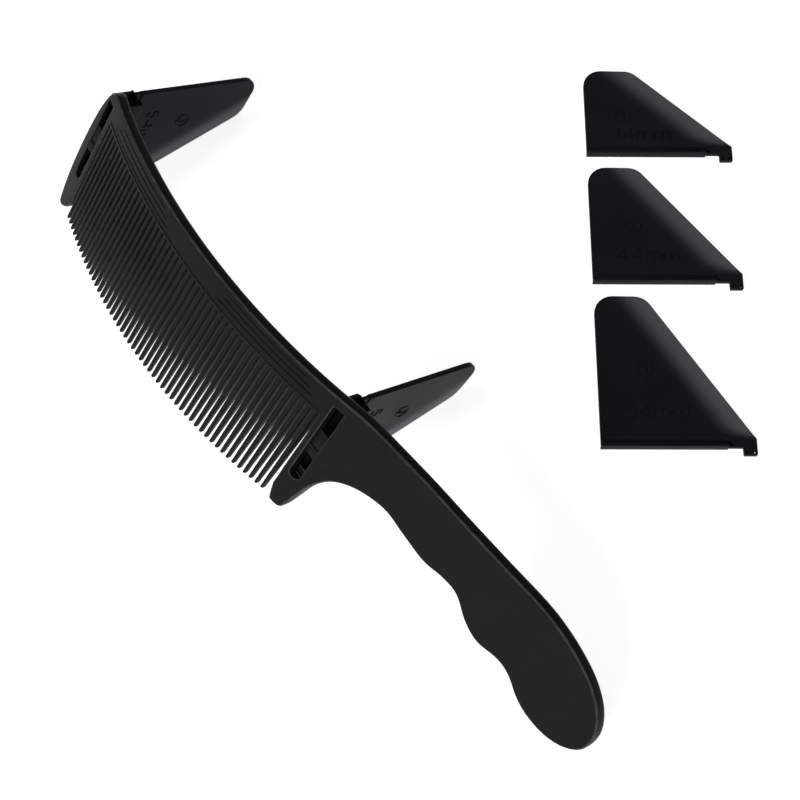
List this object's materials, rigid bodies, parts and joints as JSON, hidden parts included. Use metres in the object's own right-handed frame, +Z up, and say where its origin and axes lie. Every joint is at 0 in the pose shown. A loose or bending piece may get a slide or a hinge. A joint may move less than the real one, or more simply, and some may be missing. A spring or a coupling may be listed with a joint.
{
  "type": "clipper guard comb",
  "caption": "Curved barber's comb with a scalloped handle and slide-in spacer plates that hold it off the head while clippers run over its face.",
  "frame": {"origin": "on the table, under the middle of the box round the comb and the three plates beside it", "axes": "+Z up, +X along the comb from its free end to its handle, +Y from the comb towards the loose plates"},
  "size_m": [0.2523, 0.2109, 0.0544],
  "materials": {
    "comb_plastic": "fine satin moulded black plastic",
    "plate_plastic": "smoother satin black plastic with a faint blue cast"
  },
  "bodies": {
    "comb": {"comb_body": "comb_plastic"},
    "far_plate": {"far_guard_plate": "plate_plastic"},
    "near_plate": {"near_guard_plate": "plate_plastic"},
    "loose_34": {"loose_plate_34": "plate_plastic"},
    "loose_44": {"loose_plate_44": "plate_plastic"},
    "loose_54": {"loose_plate_54": "plate_plastic"}
  },
  "joints": [
    {"name": "far_plate_slide", "type": "slide", "parent": "comb", "child": "far_plate", "axis": [0, -0.5467, -0.8373], "range_m": [0, 0.048]},
    {"name": "near_plate_slide", "type": "slide", "parent": "comb", "child": "near_plate", "axis": [0, -0.5467, -0.8373], "range_m": [0, 0.048]},
    {"name": "loose_34_lift", "type": "slide", "parent": "comb", "child": "loose_34", "axis": [0, 0, 1], "range_m": [0, 0.06]},
    {"name": "loose_44_lift", "type": "slide", "parent": "comb", "child": "loose_44", "axis": [0, 0, 1], "range_m": [0, 0.06]},
    {"name": "loose_54_lift", "type": "slide", "parent": "comb", "child": "loose_54", "axis": [0, 0, 1], "range_m": [0, 0.06]}
  ]
}
